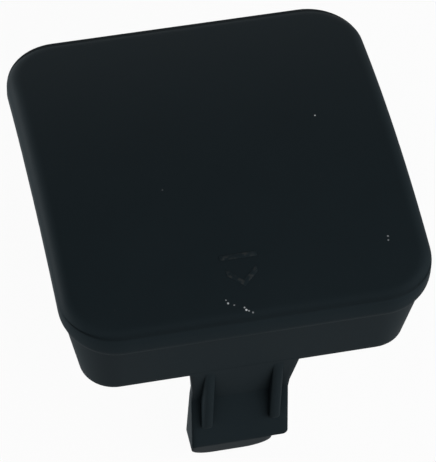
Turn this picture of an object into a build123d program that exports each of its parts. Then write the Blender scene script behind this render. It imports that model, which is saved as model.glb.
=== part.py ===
from build123d import *
import math
import os

# Tow hook cover: one black moulding that closes the towing-eye opening in a car bumper.
# A crowned square face with a deep rounded rim, a tapered skirt that enters the opening,
# a ribbed barb on the lower edge and a small hook on the upper edge that hold it there.
# +X is to the right of the face, +Y towards its upper edge, +Z out of the face.
# The origin is the middle of the opening, level with the rim's seat at the upper and lower edges.
# Lengths are millimetres and angles are degrees.

# Face and rim
face_width = 80.0
face_height = 84.0
corner_radius = 12.0
crown_radius = 194.0
face_thickness = 2.6
rim_depth = 7.3
face_edge_radius = 3.0
seat_edge_radius = 2.4

# Skirt
skirt_inset = 1.5
skirt_depth = 15.4
skirt_draft = 11.4
wall = 2.4
mouth_edge_radius = 0.5

# Stiffening ribs behind the face
stiffener_thickness = 1.6
stiffener_height = 3.0
stiffener_spacing = 30.0

# Barbed tab on the lower edge
tab_root_width = 23.6
tab_width = 21.4
tab_taper_length = 9.5
neck_length = 13.0
neck_lean = 12.5
ramp_length = 14.0
ramp_rise = 2.6
lead_length = 7.0
lead_drop = 3.0
neck_thickness = 2.3
tip_thickness = 4.0
tongue_width = 17.8
tip_corner_radius = 5.5
crest_corner_radius = 1.2
tab_offset = -0.9

# Ribs along the tab
tab_rib_thickness = 2.3
tab_rib_spacing = 15.0
tab_rib_end = 5.8
tab_rib_end_radius = 1.6
tab_rib_edge_radius = 0.6

# Hook on the upper edge
hook_width = 18.0
hook_length = 10.0
hook_thickness = 2.2
hook_rise = 1.8
hook_lead = 4.0

# How far a joined feature is sunk into what carries it, and how far a cutter runs past what it cuts
root_overlap = 1.0
cut_margin = 5.0

draft_slope = math.tan(math.radians(skirt_draft))
lean_slope = math.tan(math.radians(neck_lean))
edge_sag = crown_radius - math.sqrt(crown_radius**2 - (face_height / 2) ** 2)
crown_top = rim_depth + edge_sag
mouth_inset = skirt_inset + skirt_depth * draft_slope
mouth_half_height = face_height / 2 - mouth_inset
crest_depth = neck_length + ramp_length
neck_foot = -neck_length * lean_slope


def outline(inset):
    """The face's rounded square, drawn in by a distance all round."""
    return RectangleRounded(face_width - 2 * inset, face_height - 2 * inset, corner_radius - inset)


def under_crown(drop):
    """Everything below the crown's cylinder, let down by a distance."""
    barrel = Cylinder(crown_radius, face_width + 2 * cut_margin, rotation=(0, 90, 0))
    return Pos(0, 0, crown_top - drop - crown_radius) * barrel


def tapered_block(seat_inset, bottom, top):
    """A block with the skirt's draft whose outline at the seat is drawn in by seat_inset."""
    top_inset = seat_inset - top * draft_slope
    return extrude(Plane.XY.offset(top) * outline(top_inset), amount=bottom - top, taper=skirt_draft)


def column():
    """The face's outline as a column that runs past the cover at both ends."""
    foot = Plane.XY.offset(-skirt_depth - cut_margin)
    return extrude(foot * outline(0), amount=skirt_depth + crown_top + 2 * cut_margin)


def rim():
    """The face with its rim: the outline between two crowned surfaces, rounded front and back."""
    block = column() & under_crown(0) - under_crown(rim_depth)
    front = block.faces().sort_by(Axis.Z)[-1]
    block = fillet(front.edges(), face_edge_radius)
    seat = block.faces().sort_by(Axis.Z)[0]
    return fillet(seat.edges(), seat_edge_radius)


def skirt():
    """The solid skirt, sunk into the rim past its rolled edge, with its outer edge at the mouth rounded."""
    block = column() & tapered_block(skirt_inset, -skirt_depth, edge_sag + seat_edge_radius)
    mouth = block.faces().sort_by(Axis.Z)[0]
    return fillet(mouth.edges(), mouth_edge_radius)


def hollow():
    """The open back: parallel to the skirt, with the crown's curve for its ceiling."""
    block = tapered_block(skirt_inset + wall, -skirt_depth - cut_margin, crown_top)
    return block & under_crown(face_thickness)


def stiffeners():
    """Low ribs under the face: two up and down, one across."""
    bars = Sketch() + [
        loc * Rectangle(stiffener_thickness, face_height) for loc in GridLocations(stiffener_spacing, 0, 2, 1)
    ]
    bars += Rectangle(face_width, stiffener_thickness)
    block = extrude(bars, amount=crown_top)
    band = under_crown(face_thickness - root_overlap) - under_crown(face_thickness + stiffener_height)
    inside = tapered_block(skirt_inset + wall - root_overlap, 0, crown_top)
    return block & band & inside


def tab_outline():
    """The tab seen from the front: a short taper, a straight run to the crest, a rounded tongue."""
    half_root = tab_root_width / 2
    half_tab = tab_width / 2
    body = Polygon(
        (-half_root, root_overlap),
        (half_root, root_overlap),
        (half_root, 0),
        (half_tab, -tab_taper_length),
        (half_tab, -crest_depth),
        (-half_tab, -crest_depth),
        (-half_tab, -tab_taper_length),
        (-half_root, 0),
        align=None,
    )
    crest_corner = body.vertices().group_by(Axis.Y)[0].sort_by(Axis.X)[-1]
    body = fillet(crest_corner, crest_corner_radius)
    tongue = Rectangle(tongue_width, ramp_length + lead_length, align=(Align.MIN, Align.MAX))
    tongue = fillet(tongue.vertices().group_by(Axis.Y)[0], tip_corner_radius)
    return body + Pos(-half_tab, -neck_length) * tongue


def side_plane(y, z):
    """A plane seen from the side, with its first axis away from the middle, its second axis up."""
    return Plane(origin=(0, y, z), x_dir=(0, -1, 0), z_dir=(-1, 0, 0))


def snap_tab():
    """The barbed tab: a leaning neck, a ramp out to the crest, then a lead-in to the tip."""
    crest = neck_foot + ramp_rise
    tip = crest - lead_drop
    tip_depth = crest_depth + lead_length
    top = root_overlap * lean_slope
    profile = Polygon(
        (top, root_overlap),
        (0, 0),
        (neck_foot, -neck_length),
        (crest, -crest_depth),
        (tip, -tip_depth),
        (tip - tip_thickness, -tip_depth),
        (neck_foot - neck_thickness, -neck_length),
        (-neck_thickness, 0),
        (top - neck_thickness, root_overlap),
        align=None,
    )
    place = side_plane(-mouth_half_height, -skirt_depth)
    bar = extrude(place * profile, amount=tab_root_width / 2, both=True)
    front = Plane.XZ * Pos(0, -skirt_depth) * tab_outline()
    return Pos(tab_offset) * (bar & extrude(front, amount=face_height, both=True))


def tab_ribs():
    """Two ribs that bridge the hollow of the neck, flush with the skirt and rounded at the end."""
    end = crest_depth - tab_rib_end
    profile = Polygon(
        (0, root_overlap),
        (0, -end),
        (neck_foot + ramp_rise - neck_thickness, -end),
        (neck_foot - neck_thickness / 2, -neck_length),
        (-neck_thickness / 2, 0),
        (-neck_thickness / 2, root_overlap),
        align=None,
    )
    corner = profile.vertices().group_by(Axis.Y)[0].sort_by(Axis.X)[-1]
    profile = fillet(corner, tab_rib_end_radius)
    place = side_plane(-mouth_half_height, -skirt_depth)
    rib = extrude(place * profile, amount=tab_rib_thickness / 2, both=True)
    rib = fillet(rib.edges().filter_by(Axis.Z).group_by(Axis.Y)[0], tab_rib_edge_radius)
    return [Pos(tab_offset) * loc * rib for loc in GridLocations(tab_rib_spacing, 0, 2, 1)]


def top_hook():
    """The hook on the upper edge: a short tongue with a shallow barb."""
    profile = Polygon(
        (root_overlap * draft_slope, root_overlap),
        (0, 0),
        (0, hook_lead - hook_length + hook_rise),
        (hook_rise, hook_lead - hook_length),
        (0, -hook_length),
        (-hook_thickness, -hook_length),
        (-hook_thickness, 0),
        (root_overlap * draft_slope - hook_thickness, root_overlap),
        align=None,
    )
    place = Plane(origin=(0, mouth_half_height, -skirt_depth), x_dir=(0, 1, 0), z_dir=(1, 0, 0))
    return extrude(place * profile, amount=hook_width / 2, both=True)


cover = rim() + skirt() - hollow()
cover = cover + stiffeners() + snap_tab() + tab_ribs() + top_hook()

os.makedirs("parts", exist_ok=True)
export_step(cover, "parts/tow_hook_cover.step")
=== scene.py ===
import math
import bpy
from mathutils import Matrix, Vector


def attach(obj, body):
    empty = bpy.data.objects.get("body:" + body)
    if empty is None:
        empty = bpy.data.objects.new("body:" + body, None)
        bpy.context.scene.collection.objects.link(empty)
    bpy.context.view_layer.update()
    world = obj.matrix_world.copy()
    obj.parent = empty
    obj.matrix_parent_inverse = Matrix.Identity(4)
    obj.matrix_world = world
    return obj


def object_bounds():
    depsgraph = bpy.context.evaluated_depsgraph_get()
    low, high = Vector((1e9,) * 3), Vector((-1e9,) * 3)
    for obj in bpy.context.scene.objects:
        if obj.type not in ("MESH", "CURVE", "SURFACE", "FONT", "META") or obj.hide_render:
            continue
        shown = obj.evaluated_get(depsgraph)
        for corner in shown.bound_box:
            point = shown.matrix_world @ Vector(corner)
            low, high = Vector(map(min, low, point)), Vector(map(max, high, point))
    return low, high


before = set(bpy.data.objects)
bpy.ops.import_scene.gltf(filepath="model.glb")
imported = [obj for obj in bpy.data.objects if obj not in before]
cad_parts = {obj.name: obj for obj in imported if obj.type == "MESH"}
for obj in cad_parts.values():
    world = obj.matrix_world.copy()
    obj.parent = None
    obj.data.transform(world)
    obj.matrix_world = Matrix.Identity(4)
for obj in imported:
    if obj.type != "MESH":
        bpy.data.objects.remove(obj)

cad_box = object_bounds()


# The camera: a long lens about 0.7 m away, above the lower left of the face,
# so that the face, the lower side of the skirt and the snap tab all show.
view_target = Vector((-0.0020, -0.0128, 0.0014))
view_distance = 0.713
view_elevation = math.radians(50.85)
view_azimuth = math.radians(-14.45)
view_roll = math.radians(2.82)
focal_px = 3335.0
image_height_px = 462.0
sensor_mm = 36.0

camera_data = bpy.data.cameras.new("camera")
camera_data.sensor_fit = "VERTICAL"
camera_data.sensor_height = sensor_mm
camera_data.lens = sensor_mm * focal_px / image_height_px
camera_data.clip_start = 0.01
camera = bpy.data.objects.new("camera", camera_data)
bpy.context.scene.collection.objects.link(camera)
turn = Matrix.Rotation(view_azimuth, 4, "Z") @ Matrix.Rotation(math.pi / 2 - view_elevation, 4, "X")
turn = turn @ Matrix.Rotation(view_roll, 4, "Z")
camera.matrix_world = Matrix.Translation(view_target + turn.col[2].to_3d() * view_distance) @ turn
bpy.context.scene.camera = camera


# The cover: one injection moulding in black plastic, satin from a fine grain in the mould.
# It has been handled: the sheen varies a little, with dust in the grain and a few pale nicks on the
# face, and the grooves are darkened with painted shade.
grain_size = 0.00042
grain_depth = 0.000018
relief_strength = 0.6
sheen_patch = 0.014
sheen_spread = 0.10
patch_relief = 0.4
satin_roughness = 0.60
gloss_level = 0.020
dust_cells_per_m = 260.0
dust_area = 0.02
dust_cover = 0.5
dust_dullness = 0.1
nick_core = 0.35
nick_dullness = 0.2
edge_softness = 0.0018
# Painted shade in the grooves: how far the occlusion looks, where it starts and ends, and how strong it
# is
groove_reach = 0.006
groove_closed = 0.45
groove_open = 0.98
painted_shade_cover = 0.9
shader_samples = 8
# The dark colour painted as shade in the grooves
groove_shade_black = (0.0042, 0.0062, 0.0074, 1.0)
black_low = (0.0056, 0.0089, 0.0107, 1.0)
black_high = (0.0069, 0.0107, 0.0128, 1.0)
nick_grey = (0.40, 0.42, 0.43, 1.0)
dust_grey = (0.030, 0.032, 0.033, 1.0)


class Thread:
    """One output in a material's node tree. Arithmetic on it adds Math nodes to that tree."""

    def __init__(self, tree, socket):
        self.tree = tree
        self.socket = socket

    def node(self, kind, settings, inputs, output=0):
        """Adds a node, sets it up, then fills its inputs with threads or plain values."""
        made = self.tree.nodes.new(kind)
        for key, value in settings.items():
            setattr(made, key, value)
        for key, value in inputs.items():
            if isinstance(value, Thread):
                self.tree.links.new(value.socket, made.inputs[key])
            else:
                made.inputs[key].default_value = value
        return Thread(self.tree, made.outputs[output] if made.outputs else None)

    def maths(self, operation, first, second):
        return self.node("ShaderNodeMath", {"operation": operation}, {0: first, 1: second})

    def __add__(self, other):
        return self.maths("ADD", self, other)

    def __radd__(self, other):
        return self.maths("ADD", other, self)

    def __sub__(self, other):
        return self.maths("SUBTRACT", self, other)

    def __rsub__(self, other):
        return self.maths("SUBTRACT", other, self)

    def __mul__(self, other):
        return self.maths("MULTIPLY", self, other)

    def __rmul__(self, other):
        return self.maths("MULTIPLY", other, self)

    def largest(self, other):
        return self.maths("MAXIMUM", self, other)

    def fade(self, start, end):
        """1 below start, falling smoothly to 0 at end."""
        settings = {"interpolation_type": "SMOOTHSTEP"}
        ends = {"Value": self, 1: start, 2: end, 3: 1.0, 4: 0.0}
        return self.node("ShaderNodeMapRange", settings, ends)

    def noise(self, size, detail):
        return self.node("ShaderNodeTexNoise", {}, {"Vector": self, "Scale": 1 / size, "Detail": detail})

    def blend(self, first, second):
        """The first colour where this is 0, the second where it is 1."""
        colours = {"Factor": self, 6: first, 7: second}
        return self.node("ShaderNodeMix", {"data_type": "RGBA"}, colours, 2)


plastic = bpy.data.materials.new("satin_black_plastic")
plastic.use_nodes = True
tree = plastic.node_tree
tree.nodes.clear()
place = Thread(tree, tree.nodes.new("ShaderNodeTexCoord").outputs["Object"])

grain = place.noise(grain_size, 2.0)
patches = place.noise(sheen_patch, 3.0)
dust_cells = place.node("ShaderNodeTexVoronoi", {}, {"Vector": place, "Scale": dust_cells_per_m})
dust = dust_cells.fade(0.025, 0.05) * (1 - place.noise(dust_area, 1.0).fade(0.50, 0.62))

# Nicks on the face: where each is, in metres, how wide, and how pale
nicks = [
    ((-0.00572, -0.03672, 0.00840), 0.00022, 0.35),
    ((-0.00544, -0.03750, 0.00824), 0.00030, 0.75),
    ((-0.00425, -0.03812, 0.00812), 0.00026, 0.28),
    ((-0.00226, -0.03898, 0.00795), 0.00026, 0.60),
    ((-0.00199, -0.03957, 0.00782), 0.00032, 1.00),
    ((-0.00150, -0.03986, 0.00776), 0.00026, 0.45),
    ((-0.00073, -0.04033, 0.00766), 0.00030, 0.32),
    ((-0.00236, -0.03277, 0.00911), 0.00026, 0.35),
    ((0.02333, 0.00657, 0.01179), 0.00026, 0.90),
    ((0.03117, -0.02757, 0.00993), 0.00026, 0.50),
    ((0.03104, -0.02853, 0.00979), 0.00024, 0.40),
    ((-0.01329, -0.00781, 0.01174), 0.00024, 0.12),
]
nick = None
for centre, width, paleness in nicks:
    away = place.node("ShaderNodeVectorMath", {"operation": "DISTANCE"}, {0: place, 1: centre}, "Value")
    spot = away.fade(width * nick_core, width) * paleness
    nick = spot if nick is None else nick.largest(spot)

colour = patches.blend(black_low, black_high)
colour = (dust * dust_cover).blend(colour, dust_grey)
colour = nick.blend(colour, nick_grey)
roughness = satin_roughness + (patches - 0.5) * sheen_spread
roughness = roughness + dust * dust_dullness + nick * nick_dullness
relief = grain + (patches - 0.5) * patch_relief
soft_edges = place.node("ShaderNodeBevel", {"samples": shader_samples}, {"Radius": edge_softness})
bump = place.node(
    "ShaderNodeBump",
    {},
    {"Strength": relief_strength, "Distance": grain_depth, "Height": relief, "Normal": soft_edges},
)
surface = place.node(
    "ShaderNodeBsdfPrincipled",
    {},
    {"Base Color": colour, "Roughness": roughness, "Normal": bump, "Specular IOR Level": gloss_level},
)
# Painted shade in the grooves: a dark matt finish, by occlusion, under the rim, along the ribs, in the
# tab's bend
near_only = {"samples": shader_samples, "only_local": True}
openness = place.node("ShaderNodeAmbientOcclusion", near_only, {"Distance": groove_reach}, "AO")
painted_groove_shade = place.node("ShaderNodeBsdfDiffuse", {}, {"Color": groove_shade_black})
painted_shade_share = openness.fade(groove_closed, groove_open) * painted_shade_cover
surface_with_painted_shade = place.node("ShaderNodeMixShader", {}, {0: painted_shade_share, 1: surface, 2: painted_groove_shade})
place.node("ShaderNodeOutputMaterial", {}, {"Surface": surface_with_painted_shade})

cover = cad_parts["tow_hook_cover"]
cover.material_slots[0].material = plastic


# The press mark: a chevron and a bar moulded a hair proud of the face near its lower edge,
# showing where to push when the cover is snapped home. It is part of the same moulding.
mark_middle = Vector((-0.0011, -0.0304))
chevron_half = 0.0033
chevron_drop = 0.0031
bar_half = 0.0040
bar_above = 0.0035
stroke = 0.0011
mark_height = 0.00006
mark_sunk = 0.00010
rubbed_grey = (0.017, 0.020, 0.021, 1.0)
rub_size = 0.0009
rub_dullness = 0.1
round_share = 0.6
smooth_angle = math.radians(40)
crown_radius = 0.194
crown_top = cad_box[1].z

bpy.ops.object.select_all(action="DESELECT")
bpy.ops.mesh.primitive_plane_add(size=1.0)
mark = bpy.context.active_object
mark.name = "press_mark"
corners = [(-1, -1), (1, -1), (-1, 1), (1, 1)]
for vertex, (across, up) in zip(mark.data.vertices, corners):
    vertex.co = (bar_half * across, bar_above + stroke / 2 * up, 0)
bpy.ops.object.mode_set(mode="EDIT")
bpy.ops.mesh.select_all(action="DESELECT")
for arm in range(2):
    bpy.ops.mesh.primitive_plane_add(size=1.0)
bpy.ops.object.mode_set(mode="OBJECT")
for arm, lean in enumerate((-1, 1)):
    inner_edge = stroke / 2 * math.hypot(chevron_half, chevron_drop) / chevron_half
    for step, (out, up) in enumerate([(0, -1), (1, -1), (0, 1), (1, 1)]):
        vertex = mark.data.vertices[4 + 4 * arm + step]
        vertex.co = (lean * chevron_half * out, chevron_drop * (out - 1) + inner_edge * up, 0)
bpy.ops.object.mode_set(mode="EDIT")
bpy.ops.mesh.select_all(action="SELECT")
bpy.ops.mesh.remove_doubles(threshold=1e-6)
bpy.ops.mesh.normals_make_consistent(inside=False)
bpy.ops.mesh.extrude_region_move(TRANSFORM_OT_translate={"value": (0, 0, mark_height + mark_sunk)})
bpy.ops.mesh.select_all(action="SELECT")
bpy.ops.mesh.normals_make_consistent(inside=False)
bpy.ops.object.mode_set(mode="OBJECT")
round_edges = mark.modifiers.new("round_edges", "BEVEL")
round_edges.width = mark_height * round_share
round_edges.segments = 2
bpy.ops.object.modifier_apply(modifier="round_edges")
slope = math.asin(mark_middle.y / crown_radius)
height = crown_top - crown_radius + crown_radius * math.cos(slope) - mark_sunk
tilt = Matrix.Rotation(-slope, 4, "X")
mark.matrix_world = Matrix.Translation((mark_middle.x, mark_middle.y, height)) @ tilt
bpy.ops.object.transform_apply(location=True, rotation=True, scale=True)
bpy.ops.object.shade_smooth_by_angle(angle=smooth_angle)
rubbed = bpy.data.materials.new("rubbed_black_plastic")
rubbed.use_nodes = True
rubbed.node_tree.nodes.clear()
place = Thread(rubbed.node_tree, rubbed.node_tree.nodes.new("ShaderNodeTexCoord").outputs["Object"])
rub = 1 - place.noise(rub_size, 3.0).fade(0.46, 0.66)
surface = place.node(
    "ShaderNodeBsdfPrincipled",
    {},
    {
        "Base Color": rub.blend(black_high, rubbed_grey),
        "Roughness": satin_roughness + rub * rub_dullness,
        "Specular IOR Level": gloss_level,
    },
)
place.node("ShaderNodeOutputMaterial", {}, {"Surface": surface})
mark.data.materials.append(rubbed)
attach(mark, "root")


# The floor: a wide matt sweep under the tab's tip. It keeps the cover's soft shadow,
# and the camera and reflections see it nearly white.
floor_half = 3.0
floor_gap = 0.0002
floor_grey = (0.40, 0.40, 0.40, 1.0)
white = (1.0, 1.0, 1.0, 1.0)
floor_whiteness = 0.95
bpy.ops.object.select_all(action="DESELECT")
bpy.ops.mesh.primitive_plane_add(size=2 * floor_half, location=(0, 0, cad_box[0].z - floor_gap))
floor = bpy.context.active_object
floor.name = "floor"
sweep = bpy.data.materials.new("white_sweep")
sweep.use_nodes = True
sweep.node_tree.nodes.clear()
rays = sweep.node_tree.nodes.new("ShaderNodeLightPath")
seen = Thread(sweep.node_tree, rays.outputs["Is Camera Ray"])
seen = seen.largest(Thread(sweep.node_tree, rays.outputs["Is Glossy Ray"]))
seen = seen.largest(Thread(sweep.node_tree, rays.outputs["Is Transmission Ray"]))
matt = seen.node("ShaderNodeBsdfDiffuse", {}, {"Color": floor_grey})
glow = seen.node("ShaderNodeEmission", {}, {"Color": white, "Strength": 1.0})
mixed = seen.node("ShaderNodeMixShader", {}, {0: seen * floor_whiteness, 1: matt, 2: glow})
seen.node("ShaderNodeOutputMaterial", {}, {"Surface": mixed})
floor.data.materials.append(sweep)


# The light: a white room all round, with soft lamps at the front, the left, the right and behind,
# and a long bright panel near the floor on the far left, which lights up the rim's left side.
room_light = 0.15

world = bpy.data.worlds.new("studio")
bpy.context.scene.world = world
world.use_nodes = True
world.node_tree.nodes.clear()
rays = world.node_tree.nodes.new("ShaderNodeLightPath")
seen = Thread(world.node_tree, rays.outputs["Is Camera Ray"])
seen = seen.largest(Thread(world.node_tree, rays.outputs["Is Glossy Ray"]))
seen = seen.largest(Thread(world.node_tree, rays.outputs["Is Transmission Ray"]))
room_strength = room_light + seen * (1 - room_light)
room = seen.node("ShaderNodeBackground", {}, {"Color": white, "Strength": room_strength})
seen.node("ShaderNodeOutputWorld", {}, {"Surface": room})

# Each lamp: its place, its width and height in metres, and its power in watts
lamps = [
    ("lamp_front", (0.5, -1.25, 0.4), 1.8, 0.9, 11.0),
    ("lamp_front_high", (0.3, -1.05, 0.82), 0.6, 0.5, 7.5),
    ("lamp_left", (-1.2, 0.0, 0.1), 1.2, 0.3, 9.0),
    ("lamp_right", (0.75, -0.3, 0.3), 0.8, 0.6, 8.0),
    ("lamp_behind", (0.1, 1.3, 0.32), 1.8, 0.45, 5.5),
    ("panel_far_left", (-0.70, 0.40, 0.02), 1.0, 0.12, 12.0),
]
for name, spot, width, height, watts in lamps:
    lamp_data = bpy.data.lights.new(name, "AREA")
    lamp_data.shape = "RECTANGLE"
    lamp_data.size = width
    lamp_data.size_y = height
    lamp_data.energy = watts
    lamp = bpy.data.objects.new(name, lamp_data)
    lamp.location = spot
    lamp.rotation_euler = (-Vector(spot)).to_track_quat("-Z", "Y").to_euler()
    lamp.visible_camera = False
    bpy.context.scene.collection.objects.link(lamp)

bpy.context.scene.view_settings.view_transform = "Standard"
